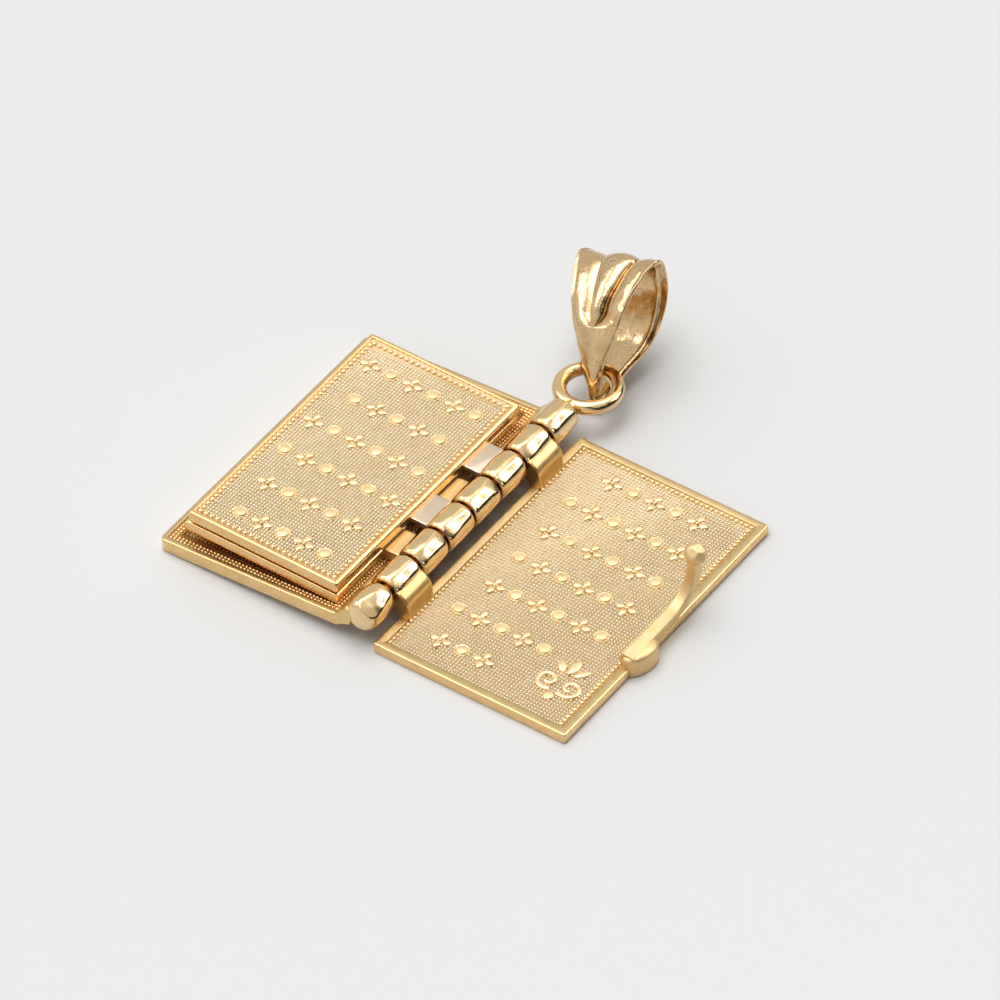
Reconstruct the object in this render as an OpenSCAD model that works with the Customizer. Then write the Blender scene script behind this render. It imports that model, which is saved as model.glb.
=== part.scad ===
/* [Covers] */
// Height of the book, along the hinge
book_h = 17; // [16.5:0.25:18]
// Width of the front cover plate, from its hinge edge to its outer edge
front_w = 10.65; // [10.4:0.05:11]
// Width of the back cover plate
back_w = 10.3; // [10:0.05:10.4]
// Thickness of the front cover plate, raised border included
front_t = 0.55; // [0.5:0.01:0.6]
// Thickness of the back cover plate, raised border included
back_t = 0.7; // [0.6:0.01:0.75]
// Radius of the corners of the covers
cover_corner = 0.35; // [0.2:0.05:0.6]
// Width of the raised border round each leaf
border_w = 0.6; // [0.4:0.05:0.8]
// Height of the raised border and ornament above the sunk field
relief_h = 0.1; // [0.06:0.01:0.14]

/* [Pages] */
// Width of the upper page
page_w = 8.45; // [8:0.05:8.6]
// How much further out the lower page reaches than the upper one
page_step = 0.2; // [0:0.05:0.3]
// Length of both pages along the hinge
page_h = 14.9; // [14:0.1:15.2]
// Thickness of the upper page
upper_t = 0.57; // [0.5:0.01:0.6]
// Thickness of the lower page
lower_t = 0.6; // [0.5:0.01:0.62]
// Gap between the two pages
page_gap = 0.07; // [0.05:0.01:0.1]
// How far the outer edges of the pages rise, in degrees
page_rise = 1; // [0.5:0.1:1.5]

/* [Hinge] */
// Outside diameter of the barrels
barrel_d = 1.7; // [1.6:0.05:1.8]
// Diameter of the hinge pin
pin_d = 0.7; // [0.6:0.05:0.8]
// Clearance round the pin, on the radius
pin_clearance = 0.04; // [0.03:0.01:0.06]
// Length of hinge that each barrel takes up
barrel_pitch = 2.15; // [2.1:0.01:2.2]
// Gap between the ends of neighbouring barrels
barrel_gap = 0.07; // [0.05:0.01:0.1]
// Height of the hinge axis above the underside of the open front cover
axis_z = 1.6; // [1.6:0.05:1.7]

/* [Ring, bail and catch] */
// Outside diameter of the ring at the top of the hinge
ring_d = 3.36; // [3.2:0.05:3.5]
// Thickness of the ring's wire
ring_wire = 0.58; // [0.5:0.02:0.62]
// Width of the bail across its two wings
bail_w = 4.76; // [4.4:0.04:4.8]
// How far the bail leans away from the book, in degrees
bail_lean = 37; // [35:1:38]
// How far the bail leans sideways, in degrees
bail_side = 22; // [21:1:24]
// Diameter of the knob of the catch
knob_d = 1.15; // [1:0.05:1.2]

/* [Hidden] */

$fn = 48;
GOLD = "#d9b06a";
PALE_GOLD = "#e3c48c";
ROSE_GOLD = "#dba874";

// How far one solid reaches into another that it is joined to
sink = 0.05;

// Distances out from the hinge axis to the near edge of each plate
front_gap = 0.95;
back_gap = 1.05;
page_in = 1.54;
front_edge = front_gap + front_w;
back_reach = back_gap + back_w;

// Heights above or below the hinge axis, square to each leaf
front_face = front_t - axis_z;
back_face = -0.25;
back_under = back_t - back_face;
upper_top = 0.93;
lower_top = upper_top - upper_t - page_gap;

// The back cover leans until its outer edge meets what the front cover lies on
back_tilt = asin(axis_z / norm([back_reach, back_under])) - atan2(back_under, back_reach);

// The hinge runs along +Y; this puts the origin under the middle of the front cover
hinge_x = -(front_gap + front_w / 2);
hinge_y = -book_h / 2;

// Barrels, counted from the near end, and the leaves that own them
barrel_r = barrel_d / 2;
bore_r = pin_d / 2 + pin_clearance;
barrel_start = -0.05;
barrel_l = barrel_pitch - barrel_gap;
barrel_round = 0.2;
end_round = 0.32;
BACK_BARRELS = [0, 7];
FRONT_BARRELS = [1, 6];
LOWER_BARRELS = [2, 4];
UPPER_BARRELS = [3, 5];

// The pin stops in the nearest barrel, whose bore is blind, and ends in the ring
pin_blind = 0.7;
pin_end_gap = 0.1;
ring_out = 2.05;

// Side outlines of the webs that join the barrels to their leaves, drawn across the hinge
web_in = 0.4;
front_foot = 1.35;
page_foot = page_in + border_w / 2;
slot = 0.34;
BACK_WEB = [[-back_gap - web_in, back_face - relief_h], [-back_gap - web_in, -back_under],
    [-0.5, -0.62], [-0.3, 0], [-0.75, 0.3]];
FRONT_WEB = [[0.3, 0], [0.35, -0.7], [front_gap + 0.1, front_face - front_t / 2],
    [front_foot, front_face - relief_h], [front_foot, front_face], [0.81, -0.25]];
LOWER_WEB = [[-page_foot, lower_top - lower_t], [-page_foot, lower_top - relief_h],
    [-1.24, lower_top - relief_h], [-0.75, 0.35], [-0.3, 0], [-0.7, lower_top - lower_t]];
UPPER_WEB = [[-page_foot, upper_top - upper_t], [-page_foot, upper_top], [-1.44, upper_top],
    [-0.2, 0.83], [-0.3, 0.2], [-0.75, upper_top - upper_t]];

// Ornament: how many marks stand in each row, from the far row to the near one
page_y = 0.55;
page_corner = 0.2;
PAGE_ROWS = [7, 6, 7, 7, 6, 6];
COVER_ROWS = [6, 8, 7, 8, 7, 6, 4];
PAGE_MIDS = [5.77, 5.6, 5.77, 5.77, 5.7, 5.6];
COVER_MIDS = [6.35, 6.2, 6.35, 6.2, 6.3, 5.2, 4.7];
page_far = 13.6;
page_pitch = 2.33;
cover_far = 15.2;
cover_pitch = 2.2;
mark_pitch = 1;
mark_w = 0.8;
mark_h = 0.85;
stud_d = 0.5;

// Scroll ornament at the lower outer corner of the front cover
scroll_at = [9.45, 3];
scroll_r = 0.56;
scroll_band = 0.2;
scroll_turn = 420;
petal = [0.46, 1.15];
side_petal = [0.36, 0.9];

// The catch: a block on the outer edge, a flat spring strip that runs along the edge and bends
// up in a plane leaning outward, and a knob on its end
block_y = 5.5;
block_l = 1.5;
block_in = 0.7;
block_out = 0.4;
block_h = 0.73;
strip_w = 0.42;
strip_t = 0.36;
strip_at = [front_edge - 0.22, block_y + block_l / 2, front_face + 0.1];
strip_lean = 8.5;
strip_run = 3.3;
strip_bend = 0.95;
strip_rise = 2;
strip_back = 5;

// The bail is a strap bent into a drop. Each row is one station round it, from the narrow end up
// the front, over the arch and down the back: how deep and how high its outer face lies, the half
// widths of its outer and inner faces, its thickness, and how much of the winged shield it shows
BAIL_ROWS = [
    [0.75, 0.32, 0.33, 0.30, 0.42, 0], [0.28, 0.62, 0.33, 0.30, 0.42, 0],
    [0.06, 1.15, 0.33, 0.30, 0.42, 0], [-0.08, 1.70, 0.47, 0.44, 0.42, 0],
    [-0.16, 2.28, 0.66, 0.62, 0.42, 0.02], [-0.21, 2.92, 0.91, 0.86, 0.50, 0.1],
    [-0.22, 3.60, 1.16, 1.10, 0.50, 0.25], [-0.20, 4.24, 1.38, 1.30, 0.48, 0.45],
    [-0.10, 4.97, 1.60, 1.50, 0.46, 0.7], [0.04, 5.71, 1.82, 1.70, 0.44, 0.85],
    [0.29, 6.36, 2.02, 1.85, 0.42, 0.95], [0.69, 7.11, 2.24, 2.00, 0.42, 1],
    [1.17, 7.56, 2.38, 2.05, 0.45, 1], [1.75, 7.60, 2.25, 1.90, 0.50, 0.9],
    [2.35, 7.38, 2.02, 1.70, 0.55, 0.65], [2.95, 6.85, 1.80, 1.50, 0.60, 0.35],
    [3.38, 6.20, 1.65, 1.35, 0.64, 0.15], [3.62, 5.40, 1.45, 1.20, 0.64, 0.05],
    [3.72, 4.50, 1.18, 1.00, 0.62, 0], [3.62, 3.75, 0.98, 0.85, 0.60, 0],
    [3.34, 3.10, 0.80, 0.70, 0.58, 0], [2.86, 2.50, 0.66, 0.58, 0.56, 0],
    [2.26, 1.90, 0.54, 0.48, 0.54, 0], [1.81, 1.29, 0.45, 0.40, 0.52, 0],
    [1.38, 0.72, 0.38, 0.34, 0.50, 0]];
BAIL_W_DRAWN = 4.76;
bail_at = [0.315, book_h + 1.351, 0.66];
bail_turn = -1;
bail_steps = 56;
wing_steps = 4;
cushion_steps = 6;
cushion_h = 0.34;
wing_h = 0.3;
edge_drop = 0.1;

function barrel_y(i) = barrel_start + i * barrel_pitch + barrel_gap / 2;

// Points of an arc round a centre, from one angle to another
function arc(cx, cy, r, from, to, steps = 6) =
    [for (i = [0:steps]) let (a = from + (to - from) * i / steps) [cx + r * cos(a), cy + r * sin(a)]];

module on_hinge() {
    translate([hinge_x, hinge_y, axis_z]) children();
}

module rounded_plate(w, h, r, t) {
    linear_extrude(t) {
        translate([r, 0]) square([w - 2 * r, h]);
        translate([0, r]) square([w, h - 2 * r]);
        for (x = [r, w - r], y = [r, h - r]) translate([x, y]) circle(r);
    }
}

// A leaf with a raised border round a sunk field, its upper face at z = top
module leaf(w, h, r, t, top) {
    translate([0, 0, top - t]) difference() {
        rounded_plate(w, h, r, t);
        translate([border_w, border_w, t - relief_h])
            linear_extrude(2 * relief_h) square([w - 2 * border_w, h - 2 * border_w]);
    }
}

module lozenge(w, h) {
    polygon([[-w / 2, 0], [0, -h / 2], [w / 2, 0], [0, h / 2]]);
}

module raised(floor_z) {
    translate([0, 0, floor_z - sink]) linear_extrude(relief_h + sink) children();
}

// Rows of lozenges and studs in turn; each row has its own middle, measured across the leaf
module rows(counts, mids, far, pitch, side) {
    for (r = [0:len(counts) - 1], i = [0:counts[r] - 1])
        translate([side * mids[r] + (i - (counts[r] - 1) / 2) * mark_pitch, far - r * pitch])
            if ((i + r) % 2 == 1) circle(d = stud_d);
            else lozenge(mark_w, mark_h);
}

// A band that winds inward, from the middle of the scroll ornament
module volute() {
    steps = 36;
    function line(off) = [for (i = [0:steps]) let (a = -125 + scroll_turn * i / steps,
        r = scroll_r * (1 - 0.72 * i / steps) + off) [r * cos(a), r * sin(a)]];
    out = line(scroll_band / 2);
    in = line(-scroll_band / 2);
    polygon(concat(out, [for (i = [steps:-1:0]) in[i]]));
}

module scroll() {
    translate(scroll_at) {
        for (m = [0, 1]) mirror([m, 0]) {
            translate([scroll_r, -0.3]) volute();
            translate([0.52, 0.78]) rotate(-38) lozenge(side_petal.x, side_petal.y);
        }
        translate([0, 0.95]) lozenge(petal.x, petal.y);
        translate([0, -1.2]) circle(d = stud_d);
    }
}

// Barrels stand along +Y round the hinge axis, solid until the bore is cut
module barrel(i, round_near = barrel_round) {
    translate([0, barrel_y(i), 0]) rotate([-90, 0, 0]) rotate_extrude()
        polygon(concat([[0, 0]],
            arc(barrel_r - round_near, round_near, round_near, -90, 0),
            arc(barrel_r - barrel_round, barrel_l - barrel_round, barrel_round, 0, 90),
            [[0, barrel_l]]));
}

module bore(i, blind = 0) {
    translate([0, barrel_y(i) + (blind > 0 ? blind : -barrel_gap), 0]) rotate([-90, 0, 0])
        cylinder(r = bore_r, h = barrel_l + 2 * barrel_gap);
}

// A straight web in one barrel's width, cut short at its far end if asked
module web(i, outline, short = 0) {
    translate([0, barrel_y(i) + barrel_l - short, 0]) rotate([90, 0, 0])
        linear_extrude(barrel_l - short) polygon(outline);
}

module back_cover() {
    color(GOLD) on_hinge() rotate([0, -back_tilt, 0]) difference() {
        union() {
            translate([-back_reach, 0, 0]) leaf(back_w, book_h, cover_corner, back_t, back_face);
            for (i = BACK_BARRELS) {
                barrel(i, i == 0 ? end_round : barrel_round);
                web(i, BACK_WEB);
            }
        }
        bore(BACK_BARRELS[0], pin_blind);
        bore(BACK_BARRELS[1]);
    }
}

module catch() {
    translate([front_edge - block_in, block_y, front_face - front_t])
        cube([block_in + block_out, block_l, block_h]);
    translate(strip_at) rotate([0, strip_lean, 0]) {
        translate([-strip_t / 2, 0, -strip_w / 2]) cube([strip_t, strip_run, strip_w]);
        translate([0, strip_run, strip_bend]) {
            rotate([0, -90, 0]) translate([0, 0, -strip_t / 2]) rotate([0, 0, 90 - strip_back])
                rotate_extrude(angle = 90 + strip_back) translate([strip_bend - strip_w / 2, 0])
                    square([strip_w, strip_t]);
            rotate([strip_back, 0, 0]) {
                translate([-strip_t / 2, strip_bend - strip_w / 2, -sink / 5])
                    cube([strip_t, strip_w, strip_rise]);
                translate([0, strip_bend, strip_rise + knob_d * 0.3]) sphere(d = knob_d);
            }
        }
    }
}

module front_cover() {
    color(GOLD) on_hinge() {
        difference() {
            union() {
                translate([front_gap, 0, 0]) leaf(front_w, book_h, cover_corner, front_t, front_face);
                for (i = FRONT_BARRELS) {
                    barrel(i);
                    web(i, FRONT_WEB);
                }
            }
            for (i = FRONT_BARRELS) bore(i);
        }
        raised(front_face - relief_h) {
            rows(COVER_ROWS, COVER_MIDS, cover_far, cover_pitch, 1);
            scroll();
        }
        catch();
    }
}

module page(w, t, top, barrels, outline, short = 0) {
    difference() {
        union() {
            translate([-page_in - w, page_y, 0]) leaf(w, page_h, page_corner, t, top);
            for (i = barrels) {
                barrel(i);
                web(i, outline, short);
            }
        }
        for (i = barrels) bore(i);
    }
}

module lower_page() {
    color(GOLD) on_hinge() rotate([0, page_rise, 0])
        page(page_w + page_step, lower_t, lower_top, LOWER_BARRELS, LOWER_WEB, slot);
}

module upper_page() {
    color(PALE_GOLD) on_hinge() rotate([0, page_rise, 0]) {
        page(page_w, upper_t, upper_top, UPPER_BARRELS, UPPER_WEB);
        raised(upper_top - relief_h) rows(PAGE_ROWS, PAGE_MIDS, page_far, page_pitch, -1);
    }
}

// The pin runs from its blind end in the nearest barrel to the ring that closes its far end
module hinge_pin() {
    pin_from = barrel_y(0) + pin_blind + pin_end_gap;
    ring_mid = (ring_d - ring_wire) / 2;
    ring_y = book_h + ring_out;
    color(GOLD) on_hinge() {
        translate([0, pin_from, 0]) rotate([-90, 0, 0]) cylinder(d = pin_d, h = ring_y - ring_mid - pin_from);
        translate([0, ring_y, 0]) rotate_extrude() translate([ring_mid, 0]) circle(d = ring_wire);
    }
}

// One station of the bail, on a smooth closed curve through its rows
function bail_station(s) = let (n = len(BAIL_ROWS), i = floor(s * n), t = s * n - i,
    a = BAIL_ROWS[(i + n - 1) % n], b = BAIL_ROWS[i % n], c = BAIL_ROWS[(i + 1) % n],
    d = BAIL_ROWS[(i + 2) % n])
    (2 * b + (c - a) * t + (2 * a - 5 * b + 4 * c - d) * t * t + (3 * b - a - 3 * c + d) * t * t * t) / 2;

// Half width of the cushion between the wings, as a share of the half width there
function cushion(height) = 0.42 + 0.14 * max(0, min(1, (height - 5.5) / 2));

// Where the k-th point across a station stands, from -1 at one edge to 1 at the other
function across(k, c) = k <= wing_steps ? -1 + (1 - c) * k / wing_steps
    : k <= wing_steps + cushion_steps ? -c + 2 * c * (k - wing_steps) / cushion_steps
    : c + (1 - c) * (k - wing_steps - cushion_steps) / wing_steps;

// How far the outer face stands off its drawn line at w, with a groove each side of the cushion
function outer_rise(shield, c, w) = let (a = abs(w))
    shield * ((a < c ? cushion_h * sqrt(1 - pow(a / c, 2)) : wing_h * pow((a - c) / (1 - c), 1.6)) - wing_h)
        - edge_drop * (1 - shield) * pow(a, 4);

function inner_drop(thick, shield, w) = let (a = abs(w))
    thick * (1 - 0.35 * shield * pow(a, 3)) + edge_drop * shield - edge_drop / 2 * (1 - shield) * pow(a, 4);

module bail() {
    n = bail_steps;
    m = 2 * wing_steps + cushion_steps;
    stations = [for (i = [0:n - 1]) bail_station(i / n)];
    function outward(i) = let (d = stations[(i + 1) % n] - stations[(i + n - 1) % n])
        [-d[1], d[0]] / norm([d[0], d[1]]);
    function at(i, x, off) = let (q = stations[i], o = outward(i) * off)
        [x * bail_w / BAIL_W_DRAWN, q[0] + o.x, q[1] + o.y];
    points = [for (i = [0:n - 1]) let (q = stations[i], c = cushion(q[1])) each concat(
        [for (k = [0:m]) let (w = across(k, c)) at(i, w * q[2], outer_rise(q[5], c, w))],
        [for (k = [0:m]) let (w = -across(k, c)) at(i, w * q[3], -inner_drop(q[4], q[5], w))])];
    loop = 2 * m + 2;
    faces = [for (i = [0:n - 1], k = [0:loop - 1]) let (j = (i + 1) % n, q = (k + 1) % loop)
        each [[i * loop + k, j * loop + q, i * loop + q], [i * loop + k, j * loop + k, j * loop + q]]];
    color(ROSE_GOLD) translate([hinge_x, hinge_y, 0] + bail_at) rotate([-bail_lean, -bail_side, bail_turn])
        polyhedron(points, faces);
}

back_cover();
hinge_pin();
bail();
front_cover();
lower_page();
upper_page();
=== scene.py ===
"""The looks of an opening book pendant in yellow gold, lying open on a pale table.

Every leaf, barrel, ring and catch is modelled in millimetres from the hinge axis, with x across
the leaves, y along the hinge and z up, and is put into the frame's metres as its piece is made.
"""

import logging
import math
from dataclasses import dataclass, field
from enum import Enum, IntEnum
from typing import Any, Callable, Sequence

import bmesh
import bpy
from mathutils import Matrix, Vector, noise


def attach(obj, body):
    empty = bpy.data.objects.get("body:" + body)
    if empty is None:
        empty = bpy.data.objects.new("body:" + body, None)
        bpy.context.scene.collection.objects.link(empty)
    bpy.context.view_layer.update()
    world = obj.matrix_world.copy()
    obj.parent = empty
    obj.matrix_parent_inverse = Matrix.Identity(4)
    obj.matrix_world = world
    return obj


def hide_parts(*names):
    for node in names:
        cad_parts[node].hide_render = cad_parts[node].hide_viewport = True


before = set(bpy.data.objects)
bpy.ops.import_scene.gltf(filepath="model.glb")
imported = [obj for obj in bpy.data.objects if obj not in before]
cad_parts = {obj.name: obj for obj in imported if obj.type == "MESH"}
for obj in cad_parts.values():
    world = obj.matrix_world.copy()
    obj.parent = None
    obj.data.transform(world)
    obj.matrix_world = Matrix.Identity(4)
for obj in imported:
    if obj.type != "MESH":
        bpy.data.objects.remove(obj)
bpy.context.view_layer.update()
LOG = logging.getLogger("pendant")

Point = tuple[float, float, float]
Flat = tuple[float, float]
Box = tuple[float, float, float, float]

MM = 0.001
# Height of the hinge's axis above the table, and where its near end lies in the frame.
AXIS_Z = 1.6
HINGE = Matrix.Translation(Vector((-6.275, -8.5, AXIS_Z)) * MM)
# Edges that turn by more than this stay crisp; points nearer than WELD, in mm, become one.
SHARP = math.radians(42)
WELD = 1e-5
# Radius of the small ring of points that closes a round part on its axis.
TIP = 0.002
# Start of the noise by which surfaces stray, the same in every run.
NOISE_SEED = 1


# ---- finishes

# Pointiness between which a hollow goes from darkened to clean: painted shade in the hollows, with
# their tarnish.
HOLLOW = (0.4, 0.492)
# Heights of the grain between which a pit opens, and of the ripple where pits lie together.
PIT, PATCH = (0.56, 0.65), (0.5, 0.6)
# Heights of the grain over which a surface goes from smooth to rough.
GRAIN = (0.3, 0.7)


def linear(code: str) -> tuple[float, float, float, float]:
    """Turns an sRGB hex colour into a linear one.

    Args:
        code: Colour as "#rrggbb".

    Returns:
        Red, green, blue and alpha.
    """
    parts = [int(code[i:i + 2], 16) / 255 for i in (1, 3, 5)]
    red, green, blue = (c / 12.92 if c <= 0.04045 else ((c + 0.055) / 1.055) ** 2.4 for c in parts)
    return red, green, blue, 1.0


def add_node(tree: bpy.types.NodeTree, kind: str, settings: dict[str, Any] | None = None,
             values: dict[int | str, Any] | None = None,
             links: dict[int | str, bpy.types.NodeSocket] | None = None) -> bpy.types.Node:
    """Adds one node with its settings and links.

    Args:
        tree: Tree that gets the node.
        kind: Blender's name of the node.
        settings: Properties of the node.
        values: Fixed values of its inputs, by name or number.
        links: Sockets that feed its inputs, by name or number.

    Returns:
        The new node.
    """
    node = tree.nodes.new(kind)
    for name, value in (settings or {}).items():
        setattr(node, name, value)
    for key, value in (values or {}).items():
        node.inputs[key].default_value = value
    for key, socket in (links or {}).items():
        tree.links.new(socket, node.inputs[key])
    return node


@dataclass(frozen=True)
class Gold:
    """14 karat yellow gold, cast and then finished in one way."""

    name: str
    pale: str
    deep: str
    smooth: float
    rough: float
    ripple_mm: float
    ripple_depth: float
    grain_mm: float
    grain_depth: float
    # Colour of the casting pits and of the painted shade in hollows, and how strongly the hollows
    # take it.
    shade_and_pit_colour: str = "#8a5a2a"
    hollow_shade: float = 0.5
    pits: float = 0.0

    def material(self) -> bpy.types.Material:
        """Builds the finish, or finds it if it is built already.

        Returns:
            The material.
        """
        done = bpy.data.materials.get(self.name)
        if done:
            return done
        mat = bpy.data.materials.new(self.name)
        mat.use_nodes = True
        tree = mat.node_tree
        tree.nodes.clear()
        place = add_node(tree, "ShaderNodeTexCoord").outputs["Object"]
        bent = add_node(tree, "ShaderNodeNewGeometry").outputs["Pointiness"]
        ripple, grain = (add_node(tree, "ShaderNodeTexNoise", values={
            "Scale": 1 / (size * MM), "Detail": detail, "Roughness": uneven},
            links={"Vector": place}).outputs["Fac"]
            for size, detail, uneven in ((self.ripple_mm, 2.0, 0.45), (self.grain_mm, 3.0, 0.6)))
        # Each row: what is measured, its span, and what the ends of the span become.
        hollow, speck, patch, rough = (
            add_node(tree, "ShaderNodeMapRange", values=dict(enumerate((*span, start, end), 1)),
                     links={0: measure}).outputs[0]
            for measure, span, start, end in (
                (bent, HOLLOW, self.hollow_shade, 0.0), (grain, PIT, 0.0, 1.0),
                (ripple, PATCH, 0.0, self.pits), (grain, GRAIN, self.smooth, self.rough)))
        pit = add_node(tree, "ShaderNodeMath", {"operation": "MULTIPLY"},
                       links={0: speck, 1: patch}).outputs[0]
        # The darker of a casting pit and the painted shade in a hollow.
        pits_and_shade = add_node(tree, "ShaderNodeMath", {"operation": "MAXIMUM"},
                        links={0: hollow, 1: pit}).outputs[0]
        tone = add_node(tree, "ShaderNodeMix", {"data_type": "RGBA"},
                        {6: linear(self.deep), 7: linear(self.pale)}, {0: ripple}).outputs[2]
        colour = add_node(tree, "ShaderNodeMix", {"data_type": "RGBA"},
                          {7: linear(self.shade_and_pit_colour)}, {0: pits_and_shade, 6: tone}).outputs[2]
        worn = add_node(tree, "ShaderNodeBump", values={
            "Strength": 1.0, "Distance": self.ripple_depth * MM}, links={"Height": ripple})
        bump = add_node(tree, "ShaderNodeBump", values={
            "Strength": 1.0, "Distance": self.grain_depth * MM},
            links={"Height": grain, "Normal": worn.outputs[0]})
        shader = add_node(tree, "ShaderNodeBsdfPrincipled", values={"Metallic": 1.0}, links={
            "Base Color": colour, "Roughness": rough, "Normal": bump.outputs[0]})
        add_node(tree, "ShaderNodeOutputMaterial", links={0: shader.outputs[0]})
        return mat


# Buffed barrels and ring: mirror-like, with the slow waver that a buffing wheel leaves.
BUFFED = Gold("buffed_gold", "#ecd0a0", "#dfba80", 0.09, 0.2, 0.8, 0.012, 0.1, 0.0008)
# The left leaves' webs, brushed by hand: a soft even glow without sharp mirror images.
SATIN = Gold("satin_gold", "#e9cc98", "#d8b47b", 0.3, 0.44, 0.8, 0.008, 0.08, 0.0012)
# The first barrel's end, the ornaments and most beads, filed bright: paler than the webs.
FILED = Gold("filed_gold", "#f4dcb0", "#e4c590", 0.32, 0.46, 0.7, 0.008, 0.1, 0.001)
# The catch, sanded by hand and left matte, so that its faces differ little in tone.
SANDED = Gold("sanded_gold", "#ebce9e", "#d7b580", 0.46, 0.58, 0.6, 0.008, 0.12, 0.0012)
# The front cover's two arms, left as the mould gave them: amber, under a soft rubbed shine.
AMBER = Gold("rubbed_gold", "#efcd92", "#d2a25c", 0.26, 0.42, 0.8, 0.014, 0.1, 0.0014)
# The upper page's webs, blasted matte and a little grey.
BLASTED = Gold("blasted_gold", "#d0bfaa", "#c4af97", 0.3, 0.42, 0.8, 0.006, 0.08, 0.001)
# The leaves' edges and the back cover's beads: a warm soft shine, mottled by the mould's skin.
CAST = Gold("cast_gold", "#eecb96", "#deb47a", 0.24, 0.32, 0.7, 0.01, 0.09, 0.0003)
# The covers' flat borders, rubbed across with emery: matte and a tone browner than the edges.
BRUSHED = Gold("brushed_gold", "#ccb287", "#b99c6c", 0.32, 0.46, 0.6, 0.006, 0.12, 0.0012)
# The back cover's inner face, painted dark brown as the shade that the pages cast over it, with
# deep painted shade in its hollows.
UNDER_PAGE_SHADE = Gold("under_page_shade_gold", "#bd915a", "#946a3a", 0.26, 0.42, 0.5, 0.005, 0.07, 0.0008,
               shade_and_pit_colour="#6a4520", hollow_shade=0.7)
# The raised points of the other fields: painted pale, a painted highlight on each point, over a
# soft matte shine.
LIT_POINTS = Gold("lit_points_gold", "#e8dfca", "#dccfb1", 0.24, 0.32, 0.5, 0.003, 0.05, 0.0006)
# The ground between the raised points: duller, and painted deeper as the shade between them, so
# that the points stand out.
GROUND = Gold("shaded_field_ground_gold", "#d0b694", "#c1a47d", 0.28, 0.4, 0.5, 0.003, 0.05, 0.0006)
# The bail's redder alloy, polished over a skin with fine casting pits, and with deep painted shade
# in its hollows.
ROSY = Gold("rosy_gold", "#ead0a2", "#c49a6c", 0.07, 0.2, 0.6, 0.032, 0.09, 0.004,
            shade_and_pit_colour="#6a3f20", hollow_shade=0.85, pits=0.85)


# ---- meshes

class Draft:
    """Gathers the points and faces of one piece, then makes its object."""

    def __init__(self) -> None:
        """Starts with no points."""
        self.points: list[Point] = []
        self.faces: list[tuple[int, ...]] = []
        self.kinds: list[int] = []

    def rings(self, rings: Sequence[Sequence[Point]], closed: bool = False,
              kinds: Callable[[int], int] = lambda row: 0, cap_kind: int = 0) -> None:
        """Adds the skin between rings of points, with a cap on each end or joined end to end.

        Args:
            rings: Rings with the same number of points each.
            closed: Whether the last ring joins the first.
            kinds: Which material the skin after a ring has.
            cap_kind: Which material the last ring's cap has.
        """
        n, count, first = len(rings[0]), len(rings), len(self.points)
        self.points += [tuple(p) for ring in rings for p in ring]
        for row in range(count if closed else count - 1):
            a, b = row * n, (row + 1) % count * n
            self.skin(first, [(a + i, a + (i + 1) % n, b + (i + 1) % n, b + i)
                              for i in range(n)], kinds(row))
        if not closed:
            self.skin(first, [tuple(reversed(range(n)))], 0)
            self.skin(first, [tuple(range((count - 1) * n, count * n))], cap_kind)

    def skin(self, first: int, faces: Sequence[Sequence[int]], kind: int) -> None:
        """Adds faces of one material.

        Args:
            first: Number of the shape's first point.
            faces: The faces, by the numbers of the shape's own points.
            kind: Which of the piece's materials they have.
        """
        self.faces += [tuple(first + i for i in face) for face in faces]
        self.kinds += [kind] * len(faces)

    def make(self, name: str, place: Matrix, golds: Sequence[Gold],
             wobble: Flat) -> bpy.types.Object:
        """Makes the piece's object.

        Args:
            name: Name of the piece.
            place: Where its millimetres go in the frame.
            golds: Its finishes.
            wobble: How far its surface strays and over what length, in mm.

        Returns:
            An object at the origin, with its place in its mesh.
        """
        amount, length = wobble
        points = [tuple(Vector(p) + noise.noise_vector(Vector(p) / length) * amount)
                  for p in self.points]
        mesh = bpy.data.meshes.new(name)
        mesh.from_pydata(points, [], self.faces)
        for gold in golds:
            mesh.materials.append(gold.material())
        mesh.polygons.foreach_set("material_index", self.kinds)
        bm = bmesh.new()
        bm.from_mesh(mesh)
        bmesh.ops.remove_doubles(bm, verts=bm.verts, dist=WELD)
        bmesh.ops.recalc_face_normals(bm, faces=bm.faces)
        bm.to_mesh(mesh)
        bm.free()
        mesh.polygons.foreach_set("use_smooth", [True] * len(mesh.polygons))
        mesh.set_sharp_from_angle(angle=SHARP)
        mesh.transform(place)
        obj = bpy.data.objects.new(name, mesh)
        bpy.context.scene.collection.objects.link(obj)
        return obj


def clamp(value: float) -> float:
    """Keeps a value between 0 and 1."""
    return max(0.0, min(1.0, value))


def round_angles(count: int) -> list[float]:
    """Evenly spaced angles round a full turn, in radians."""
    return [2 * math.pi * i / count for i in range(count)]


def circle(radius: float, steps: int = 18) -> list[Flat]:
    """Points round a circle."""
    return [(radius * math.cos(a), radius * math.sin(a)) for a in round_angles(steps)]


def almond(w: float, h: float, steps: int = 7) -> list[Flat]:
    """Outlines a petal that is pointed at both ends.

    Args:
        w: Its width.
        h: Its length.
        steps: Steps along a side.

    Returns:
        The points of its outline.
    """
    side = [(w / 2 * math.sin(math.pi * i / steps) ** 0.8, h * (i / steps - 0.5))
            for i in range(steps)]
    return side + [(-x, -y) for x, y in side]


def middle(outline: Sequence[Flat]) -> Vector:
    """Mean of an outline's points."""
    return Vector((sum(p[0] for p in outline), sum(p[1] for p in outline))) / len(outline)


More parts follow.
